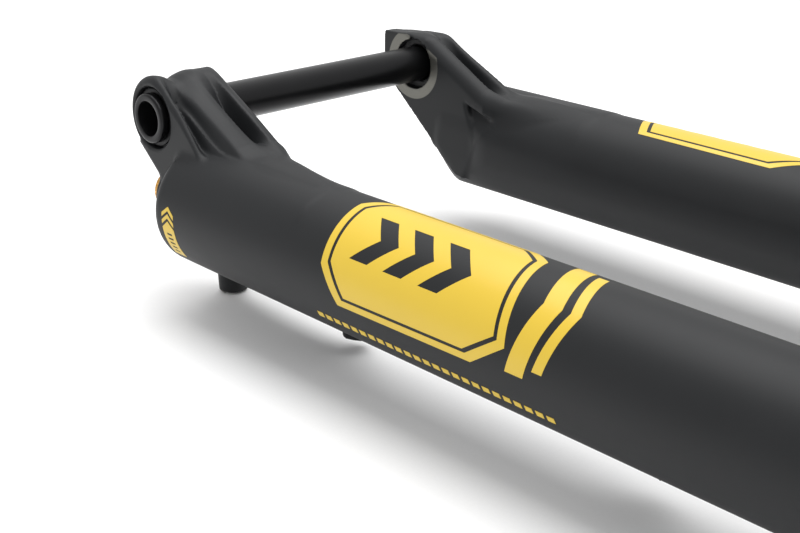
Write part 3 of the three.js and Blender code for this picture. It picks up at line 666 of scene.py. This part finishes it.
# ---- stanchions: the two upper tubes, hard anodised and polished ------------------------------
# Drawn 36 mm aluminium tubes with a low-friction dark coating, pressed into the crown.
coating = Finish("stanchion_dark_coating", (0.022, 0.018, 0.015), 0.14, 0.85)
hone = coating.noise(420.0, 2.0, stretch=(0.25, 1.0, 1.0))
streak = coating.noise(30.0, 3.0, stretch=(0.1, 1.0, 1.0))
coating.set("Base Color", coating.mixed(streak, (0.018, 0.014, 0.012), (0.032, 0.026, 0.021)))
coating.set("Roughness", 0.11 + hone * 0.05 + streak * 0.04)
coating.bump(hone, 0.000004, 0.4)
coating.set("Coat Weight", 0.15)
for side, y in (("left", -LEG_Y), ("right", LEG_Y)):
    turned_piece(
        f"upper_tube_{side}",
        [(192, 16.6), (193, 18), (545, 18), (546, 17), (546, 16), (192, 16)],
        coating, "crown_unit", "stanchion", [f"stanchion_{side}"],
        middle=(y, LEG_Z), sides=128, radius=0.3,
    )
turned_piece(
    "sag_marker",
    [(337, 18.2), (337, 19.6), (337.5, 20.3), (339.5, 20.3), (340, 19.6), (340, 18.2)],
    rubber, "sag_ring", "rubber", ["sag_ring"], middle=(LEG_Y, LEG_Z), radius=0.4,
)

# ---- damper and air spring: the pieces inside the legs ----------------------------------------
# The left leg holds an oil damper, the right one an air spring. They stay as the frame has
# them and get the finish of a ground rod, a bright tube, a gold piston or a rubber ring.
steel = anodised("steel_ground", (0.42, 0.42, 0.41), 0.28, 4.0, 1.0, axis=0)
gold = anodised("anodised_gold", (0.58, 0.30, 0.055), 0.34, 3.0, 0.85, axis=0)
black = anodised("anodised_black", (0.013, 0.013, 0.014), 0.34, 3.0, axis=0)
for name in ("cartridge_tube", "compression_valve", "damper_rod", "metering_rod", "air_shaft", "circlip",
             "valve_stem", "valve_pin", "crush_washer_left", "crush_washer_right"):
    dress(node[name], steel)
for name in ("floating_piston", "damper_piston"):
    dress(node[name], gold)
for name in ("damper_seal_head", "air_piston", "air_seal_head"):
    dress(node[name], black)
for name in ("air_piston_seal", "top_out_bumper", "bottom_out_bumper"):
    dress(node[name], rubber)
dress(node["piston_band"], bronze)

# ---- knobs, dials and caps: turned and anodised aluminium with fluted rims ---------------------
# Each is turned on a lathe, and a ring of cutters then mills the flutes into its rim. The
# gold ones set the damper, and the black ones close the two legs.


def cutter_tree():
    """Takes a ring of prism cutters, all along X, out of the piece it is put on."""
    tree = bpy.data.node_groups.new("ring_of_cutters", "GeometryNodeTree")
    face = tree.interface
    face.new_socket("Geometry", in_out="INPUT", socket_type="NodeSocketGeometry")
    face.new_socket("Geometry", in_out="OUTPUT", socket_type="NodeSocketGeometry")
    for label, kind in (("Count", "Int"), ("Ring Radius", "Float"), ("Cutter Radius", "Float"),
                        ("Sides", "Int"), ("From", "Float"), ("To", "Float"), ("Middle", "Vector"),
                        ("Finish", "Material")):
        face.new_socket(label, in_out="INPUT", socket_type=f"NodeSocket{kind}")
    made, link = tree.nodes.new, tree.links.new
    given, result = made("NodeGroupInput"), made("NodeGroupOutput")
    ring = made("GeometryNodeMeshCircle")
    link(given.outputs["Count"], ring.inputs["Vertices"])
    link(given.outputs["Ring Radius"], ring.inputs["Radius"])
    depth = made("ShaderNodeMath")
    depth.operation = "SUBTRACT"
    link(given.outputs["To"], depth.inputs[0])
    link(given.outputs["From"], depth.inputs[1])
    prism = made("GeometryNodeMeshCylinder")
    prism.fill_type = "NGON"
    link(given.outputs["Sides"], prism.inputs["Vertices"])
    link(given.outputs["Cutter Radius"], prism.inputs["Radius"])
    link(depth.outputs[0], prism.inputs["Depth"])
    spread = made("GeometryNodeInstanceOnPoints")
    link(ring.outputs["Mesh"], spread.inputs["Points"])
    link(prism.outputs["Mesh"], spread.inputs["Instance"])
    real = made("GeometryNodeRealizeInstances")
    link(spread.outputs["Instances"], real.inputs["Geometry"])
    halfway = made("ShaderNodeMath")
    halfway.operation = "MULTIPLY_ADD"
    link(depth.outputs[0], halfway.inputs[0])
    halfway.inputs[1].default_value = 0.5
    link(given.outputs["From"], halfway.inputs[2])
    station = made("ShaderNodeCombineXYZ")
    link(halfway.outputs[0], station.inputs["X"])
    place = made("ShaderNodeVectorMath")
    place.operation = "ADD"
    link(station.outputs[0], place.inputs[0])
    link(given.outputs["Middle"], place.inputs[1])
    turn = made("GeometryNodeTransform")
    turn.inputs["Rotation"].default_value = (0.0, math.pi / 2, 0.0)
    link(real.outputs["Geometry"], turn.inputs["Geometry"])
    link(place.outputs[0], turn.inputs["Translation"])
    less = made("GeometryNodeMeshBoolean")
    less.operation = "DIFFERENCE"
    less.solver = "EXACT"
    link(given.outputs["Geometry"], less.inputs["Mesh 1"])
    link(turn.outputs["Geometry"], less.inputs["Mesh 2"])
    whole = made("GeometryNodeRealizeInstances")
    link(less.outputs["Mesh"], whole.inputs["Geometry"])
    paint_on = made("GeometryNodeSetMaterial")
    link(whole.outputs["Geometry"], paint_on.inputs["Geometry"])
    link(given.outputs["Finish"], paint_on.inputs["Material"])
    link(paint_on.outputs["Geometry"], result.inputs["Geometry"])
    return tree


cutters = cutter_tree()


def grown(blank, tree, finish, **values):
    """Runs a node tree on a blank mesh and gives back the plain mesh that comes out."""
    obj = bpy.data.objects.new("blank", blank)
    bpy.context.scene.collection.objects.link(obj)
    modifier = obj.modifiers.new("made", "NODES")
    modifier.node_group = tree
    keys = {item.name: item.identifier for item in tree.interface.items_tree if item.in_out == "INPUT"}
    for label, value in values.items():
        modifier[keys[label.replace("_", " ")]] = value
    modifier[keys["Finish"]] = finish.material
    bpy.context.view_layer.update()
    ready = obj.evaluated_get(bpy.context.evaluated_depsgraph_get())
    mesh = bpy.data.meshes.new_from_object(ready)
    bpy.data.objects.remove(obj)
    return mesh


def blank_mesh(profile, **way):
    vertices, faces = turned(profile, **way)
    mesh = bpy.data.meshes.new("blank")
    mesh.from_pydata([tuple(v) for v in in_row(vertices)], [], [tuple(f) for f in faces])
    mesh.update()
    return mesh


def cut_piece(name, profile, cuts, finish, body, stands_for, y):
    """A turned blank along X less a ring of cutters, in millimetres.

    cuts: how many cutters, the ring's radius, a cutter's radius, its sides, and its two ends.
    """
    count, ring, cutter, corners, start, stop = cuts
    mesh = grown(
        blank_mesh(profile, middle=(y, LEG_Z)), cutters, finish, Count=count, Ring_Radius=ring * MM,
        Cutter_Radius=cutter * MM, Sides=corners, From=start * MM, To=stop * MM,
        Middle=tuple(in_row([0.0, y, LEG_Z])),
    )
    obj = bpy.data.objects.new(name, mesh)
    bpy.context.scene.collection.objects.link(obj)
    mesh.polygons.foreach_set("use_smooth", [True] * len(mesh.polygons))
    mark_edges(obj)
    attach(obj, body)
    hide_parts(*stands_for)
    return obj


cut_piece(
    "rebound_dial",
    [(-3.2, 0), (-3.2, 1.6), (-5, 1.6), (-5, 7.2), (-4.2, 8), (0.6, 8), (1.3, 7.4), (1.3, 0)],
    (16, 8.5, 0.9, 12, -7, 3), gold, "rebound_adjuster",
    ["rebound_knob"], -LEG_Y,
)
cut_piece(
    "high_speed_ring", [(554, 6.4), (554, 12), (554.6, 12.5), (560.2, 12.5), (561, 11.8), (561, 6.4)],
    (24, 13.0, 0.9, 12, 552, 563), black, "high_speed_adjuster",
    ["high_speed_dial"], -LEG_Y,
)
cut_piece(
    "low_speed_dial",
    [(540, 0), (540, 5.8), (561.4, 5.8), (561.4, 9), (567, 9), (568, 8), (568, 2), (566, 2), (566, 0)],
    (18, 9.4, 0.75, 12, 560, 570), gold, "low_speed_adjuster",
    ["low_speed_knob"], -LEG_Y,
)
for side, y, hole in (("damper", -LEG_Y, 6.2), ("air", LEG_Y, 4.2)):
    cut_piece(
        f"{side}_cap",
        [(530, hole), (530, 15.7), (546.4, 15.7), (546.4, 17), (548.3, 17), (548.3, 21), (552.4, 21),
         (553.5, 19.8), (553.5, hole)],
        (8, 21.6, 2.4, 16, 549.7, 556), black, "crown_unit", [f"{side}_top_cap"], y,
    )
cut_piece(
    "air_valve_cover",
    [(568, 0), (568, 4.5), (554.1, 4.5), (554.1, 10.4), (554.8, 11), (570.4, 11), (572, 9.2), (572, 0)],
    (24, 11.5, 0.9, 12, 553, 574), black, "air_valve_cap",
    ["valve_cap"], LEG_Y,
)

# ---- crown and steerer: forged aluminium, with a tapered tube pressed in -----------------------
# The crown is one shot-peened forging whose sockets and steerer bore are machined. Its arms
# are hollowed where the tyre passes and pocketed on top.


def crown(x, y, z):
    s = np.abs(y)
    around_leg = np.hypot(s - LEG_Y, z - LEG_Z)
    around_steerer = np.hypot(y, z + 44)
    socket = both(around_leg - 24.2, np.abs(x - 526.5) - 21.5, 2.4)
    boss = both(around_steerer - 28, np.abs(x - 532) - 17, 2.4)
    plan = [(-20, -18), (36, -14.3), (72, -11.3), (72, -50.3), (36, -56.3), (-20, -69)]
    arms = both(outline(s, z, plan), np.abs(x - 524) - 18, 5)
    shell = blended(blended(socket, boss, 5), arms, 6)
    shell = cut(shell, np.hypot(x - 446, s) - 76, 3)
    pocket = both(np.abs(s - 39) - 7 + 0.1 * np.abs(z + 34), np.abs(z + 34) - 12, 4)
    shell = cut(shell, both(pocket, 535 - x, 2), 1.2)
    shell = np.minimum(shell, both(around_steerer - 26, np.abs(x - 540) - 13, 0.5))
    shell = cut(shell, around_leg - 17.95, 0.4)
    return cut(shell, around_steerer - 19.9, 0.4)


forged = Finish("forged_black_peened", (0.012, 0.012, 0.013), 0.5, 0.5)
peened = forged.noise(900.0, 2.0)
shade = forged.noise(35.0, 3.0)
forged.set("Base Color", forged.mixed(shade, (0.009, 0.009, 0.010), (0.017, 0.017, 0.018)))
forged.set("Roughness", 0.42 + peened * 0.18)
forged.bump(peened, 0.00006, 0.5)
xs = stations((501, 556, 1.1))
half = stations((0, 99, 1.3))
ys = np.concatenate([-half[:0:-1], half])
crown_skin = skinned(crown, xs, ys, stations((-75, -2, 1.2)))
skin_piece("crown_forging", crown_skin, forged, "crown_unit", ["fork_crown"])
turned_piece(
    "steerer",
    [(517, 16.4), (517, 19.85), (575, 19.85), (605, 17), (635, 14.3), (773, 14.3), (773, 11.8),
     (637, 11.8), (573, 16.4)],
    black, "crown_unit", "forged_black", ["steerer_tube"], middle=(0, -44), sides=96,
)

# ---- hose guide and foot fasteners: clipped and bolted to the casting ----------------------------
# A moulded nylon clip holds the brake hose to the left leg, and black oxide steel fasteners
# hold the clip and the ends of the damper rod and the air shaft.
nylon = Finish("clip_nylon", (0.014, 0.014, 0.014), 0.5)
flow = nylon.noise(260.0, 3.0)
nylon.set("Base Color", nylon.mixed(flow, (0.010, 0.010, 0.010), (0.022, 0.022, 0.022)))
nylon.set("Roughness", 0.42 + flow * 0.2)
nylon.bump(nylon.noise(2200.0, 2.0), 0.00003, 0.5)
dress(node["hose_guide"], nylon)
for name in ("hose_guide_screw", "damper_foot_nut", "air_foot_bolt"):
    dress(node[name], black_oxide)

# ---- leg graphics: yellow vinyl film, cut out and stuck on the painted legs -------------------
# The black lines inside each mark are gaps in the film. Both legs carry the same mirrored
# set: a slotted block, two chevron bars, a row of dashes and a small ticked label at the end.
film = Finish("film_yellow", (0.66, 0.45, 0.035), 0.34)
fade = film.noise(25.0, 3.0)
fleck = film.noise(1500.0, 2.0)
film.set("Base Color", film.mixed(fade, (0.58, 0.395, 0.027), (0.64, 0.445, 0.035)))
film.set("Roughness", 0.28 + fade * 0.08 + fleck * 0.05)
film.bump(fleck, 0.00001, 0.5)


def on_leg(stations_degrees, lift, hand):
    """Points of the leg's skin, from a station along it and an angle round it, raised by lift."""
    x, angle = np.asarray(stations_degrees, float).T
    turn = np.radians(angle)
    reach = np.full(len(x), 23.5)
    for settle in range(4):
        spot = (x, hand * (LEG_Y + reach * np.cos(turn)), LEG_Z + reach * np.sin(turn))
        reach = reach - np.clip(casting(*spot), -2, 2)
    reach = reach + lift
    return np.stack([x, hand * (LEG_Y + reach * np.cos(turn)), LEG_Z + reach * np.sin(turn)], 1)


def inside(loops, points):
    """Even-odd test of points against closed outlines."""
    odd = np.zeros(len(points), bool)
    for loop in loops:
        for (x1, y1), (x2, y2) in zip(loop, loop[1:] + loop[:1]):
            if y1 != y2:
                over = (y1 > points[:, 1]) != (y2 > points[:, 1])
                odd ^= over & (points[:, 0] < (x2 - x1) * (points[:, 1] - y1) / (y2 - y1) + x1)
    return odd


def film_patch(name, loops, hand, pitch=1.5):
    """A closed film of 0.13 mm, cut to outlines given as (station mm, angle in degrees)."""
    arc = math.radians(LEG_R)
    flat = [[(x, angle * arc) for x, angle in loop] for loop in loops]
    points, edges = [], []
    for loop in flat:
        first = len(points)
        for start, end in zip(loop, loop[1:] + loop[:1]):
            start, end = Vector(start), Vector(end)
            steps = max(1, round((end - start).length / pitch))
            points += [start.lerp(end, i / steps) for i in range(steps)]
        edges += [(i, i + 1) for i in range(first, len(points) - 1)] + [(len(points) - 1, first)]
    low = np.min([p for loop in flat for p in loop], 0)
    high = np.max([p for loop in flat for p in loop], 0)
    columns, rows = (np.arange(low[i], high[i], pitch) for i in (0, 1))
    grid = np.array([(x, y) for x in columns for y in rows])
    rim = np.array(points)
    clear = np.min(np.hypot(*(grid[:, None] - rim[None]).transpose(2, 0, 1)), 1) > 0.6 * pitch
    points += [Vector(p) for p in grid[clear & inside(flat, grid)]]
    places, _, triangles = delaunay_2d_cdt(points, edges, [], 0, 1e-4)[:3]
    places = np.array(places)
    triangles = np.array(triangles)
    triangles = triangles[inside(flat, places[triangles].mean(1))]
    used, triangles = np.unique(triangles, return_inverse=True)
    triangles = triangles.reshape(-1, 3)
    spots = places[used] / (1.0, arc)
    count = len(spots)
    vertices = np.concatenate([on_leg(spots, 0.08, hand), on_leg(spots, -0.05, hand)])
    sides = {}
    for triangle in triangles:
        for i in range(3):
            edge = (triangle[i], triangle[(i + 1) % 3])
            sides[edge] = tuple(edge)
    faces = [tuple(t) for t in triangles] + [tuple(t[::-1] + count) for t in triangles]
    faces += [(b, a, a + count, b + count) for a, b in sides if (b, a) not in sides]
    a, b, c = vertices[triangles[0]]
    outward = a - (a[0], hand * LEG_Y, LEG_Z)
    if np.dot(np.cross(b - a, c - a), outward) < 0:
        faces = [face[::-1] for face in faces]
    obj = piece(name, in_row(vertices), faces, film, "lowers")
    mark_edges(obj)
    return obj


BLOCK = [(109, 20), (118, -9), (175, -7), (187, 14), (181, 96), (171, 115), (113, 113), (107, 84)]
middle = np.mean(BLOCK, 0)
LINE_OUT = [tuple(middle + (np.array(p) - middle) * (0.925, 0.91)) for p in BLOCK]
LINE_IN = [tuple(middle + (np.array(p) - middle) * (0.89, 0.868)) for p in BLOCK]


def chevron(x, low, high, width, lean):
    half = (low + high) / 2
    far = x + width
    return [(x, low), (far, low), (far + lean, half), (far, high), (x, high), (x + lean, half)]


SLOTS = [chevron(x, 32, 76, 8, 8) for x in (120, 135, 150)]
for side, hand in (("left", -1), ("right", 1)):
    film_patch(f"block_mark_{side}", [BLOCK, LINE_OUT], hand)
    film_patch(f"block_core_{side}", [LINE_IN, *SLOTS], hand)
    film_patch(f"chevron_bar_a_{side}", [chevron(188, -2, 110, 6.5, 5)], hand)
    film_patch(f"chevron_bar_b_{side}", [chevron(197.5, 6, 102, 3.5, 5)], hand)
    for word, turn in (("upper", 6), ("lower", -1)):
        tip = [(22, turn), (25.5, turn + 7), (29, turn), (29, turn - 4), (25.5, turn + 3), (22, turn - 4)]
        film_patch(f"end_chevron_{word}_{side}", [tip], hand, 0.8)
    bar = [(22, -8), (25.5, -1), (29, -8), (29, -40), (22, -40)]
    ticks = [[(24, t), (27, t), (27, t - 2.2), (24, t - 2.2)] for t in (-13, -18, -23, -28, -33)]
    film_patch(f"end_bar_{side}", [bar, *ticks], hand, 0.8)


def dash_tree():
    """A straight row of small flat dashes, stepped along X."""
    tree = bpy.data.node_groups.new("row_of_dashes", "GeometryNodeTree")
    face = tree.interface
    face.new_socket("Geometry", in_out="INPUT", socket_type="NodeSocketGeometry")
    face.new_socket("Geometry", in_out="OUTPUT", socket_type="NodeSocketGeometry")
    for label, kind in (("Count", "Int"), ("Step", "Vector"), ("Size", "Vector"), ("Start", "Vector"),
                        ("Turn", "Vector"), ("Finish", "Material")):
        face.new_socket(label, in_out="INPUT", socket_type=f"NodeSocket{kind}")
    made, link = tree.nodes.new, tree.links.new
    given, result = made("NodeGroupInput"), made("NodeGroupOutput")
    row = made("GeometryNodeMeshLine")
    link(given.outputs["Count"], row.inputs["Count"])
    link(given.outputs["Start"], row.inputs["Start Location"])
    link(given.outputs["Step"], row.inputs["Offset"])
    chip = made("GeometryNodeMeshCube")
    link(given.outputs["Size"], chip.inputs["Size"])
    spread = made("GeometryNodeInstanceOnPoints")
    link(row.outputs["Mesh"], spread.inputs["Points"])
    link(chip.outputs["Mesh"], spread.inputs["Instance"])
    link(given.outputs["Turn"], spread.inputs["Rotation"])
    real = made("GeometryNodeRealizeInstances")
    link(spread.outputs["Instances"], real.inputs["Geometry"])
    paint_on = made("GeometryNodeSetMaterial")
    link(real.outputs["Geometry"], paint_on.inputs["Geometry"])
    link(given.outputs["Finish"], paint_on.inputs["Material"])
    link(paint_on.outputs["Geometry"], result.inputs["Geometry"])
    return tree


dashes = dash_tree()
for side, hand in (("left", -1), ("right", 1)):
    start, end = on_leg([(107, -29), (203, -29)], 0.02, hand)
    mesh = grown(
        bpy.data.meshes.new("blank"), dashes, film, Count=25, Step=tuple((end - start) * MM / 24),
        Size=(2.7 * MM, 0.12 * MM, 2.2 * MM), Start=tuple(in_row(start)),
        Turn=(-math.radians(29) * hand, 0.0, 0.0),
    )
    obj = bpy.data.objects.new(f"dash_row_{side}", mesh)
    bpy.context.scene.collection.objects.link(obj)
    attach(obj, "lowers")

# ---- studio: seamless white paper, one broad soft light overhead and a fill -----------------
bpy.ops.mesh.primitive_plane_add(size=6.0, location=(0.4, 0.6, 0.0))
floor = bpy.context.object
floor.name = "paper_floor"
paper = Finish("seamless_paper", (0.9, 0.9, 0.9), 0.9)
grain = paper.noise(900.0, 2.0)
paper.set("Base Color", paper.mixed(grain, (0.88, 0.88, 0.88), (0.92, 0.92, 0.92)))
floor.data.materials.append(paper.material)

world = bpy.data.worlds.new("studio")
bpy.context.scene.world = world
world.use_nodes = True
world.node_tree.nodes["Background"].inputs["Color"].default_value = (1, 1, 1, 1)
world.node_tree.nodes["Background"].inputs["Strength"].default_value = 0.86


def soft_light(name, place, aim, size, power):
    lamp = bpy.data.lights.new(name, "AREA")
    lamp.shape = "RECTANGLE"
    lamp.size, lamp.size_y = size
    lamp.energy = power
    obj = bpy.data.objects.new(name, lamp)
    bpy.context.scene.collection.objects.link(obj)
    obj.location = place
    direction = Vector(aim) - Vector(place)
    obj.rotation_euler = direction.to_track_quat("-Z", "Y").to_euler()


soft_light("overhead", (-0.2, 0.15, 1.1), (-0.2, 0.0, 0.0), (1.6, 1.1), 17.0)
soft_light("fill", (0.6, -1.2, 0.7), (-0.2, 0.0, 0.05), (0.8, 0.8), 1.5)

CAMERA_SPOT = [400.2, -337.1, 126.9]
CAMERA_LENS = 58.6
CAMERA_RIGHT = (0.688, 0.725, 0.008)
CAMERA_AIM = (-0.672, 0.642, -0.369)
right = Vector(CAMERA_RIGHT).normalized()
back = -Vector(CAMERA_AIM).normalized()
up = back.cross(right).normalized()
right = up.cross(back)
camera = bpy.data.cameras.new("camera")
camera.lens = CAMERA_LENS
camera.sensor_width = 36.0
camera.clip_start = 0.01
viewer = bpy.data.objects.new("camera", camera)
bpy.context.scene.collection.objects.link(viewer)
viewer.matrix_world = Matrix.Translation(in_row(CAMERA_SPOT)) @ Matrix(
    (right, up, back)
).transposed().to_4x4()
bpy.context.scene.camera = viewer
bpy.context.scene.view_settings.view_transform = "Standard"
